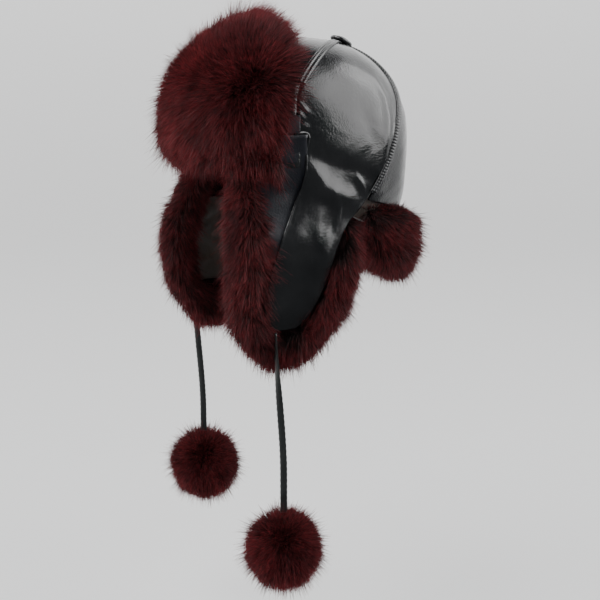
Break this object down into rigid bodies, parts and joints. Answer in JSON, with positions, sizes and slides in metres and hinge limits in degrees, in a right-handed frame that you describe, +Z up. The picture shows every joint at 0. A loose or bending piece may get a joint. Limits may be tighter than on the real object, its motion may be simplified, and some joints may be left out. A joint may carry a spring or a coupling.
{
  "type": "ushanka",
  "caption": "Leather ushanka with deep dyed fur on its turned-up visor, hanging ear flaps and nape, and a fur ball on each flap's tie.",
  "frame": {"origin": "middle of the head opening at brow level, where the head sits in the hat", "axes": "+Z up as worn, -Y the wearer's front, +X the wearer's left"},
  "size_m": [0.2538, 0.2344, 0.4686],
  "materials": {
    "leather": "glossy black leather, softly creased",
    "binding": "blue-black leather, satin gloss",
    "fur": "long dyed fur, burgundy, darker at the roots",
    "lining": "dark brown satin",
    "tie": "black leather strip"
  },
  "bodies": {
    "root": {"front_panel": "leather", "back_panel": "leather", "side_panel_left": "leather", "side_panel_right": "leather", "front_welt_left": "leather", "front_welt_right": "leather", "rear_welt_left": "leather", "rear_welt_right": "leather", "top_button": "leather", "visor_end_left": "leather", "visor_end_right": "leather", "flap_facing_left": "binding", "flap_facing_right": "binding", "visor_fur": "fur", "flap_fur_left": "fur", "flap_fur_right": "fur", "nape_fur": "fur", "crown_lining": "lining", "flap_lining_left": "lining", "flap_lining_right": "lining", "tie_left": "tie", "tie_right": "tie", "ball_left": "fur", "ball_right": "fur"}
  },
  "joints": []
}
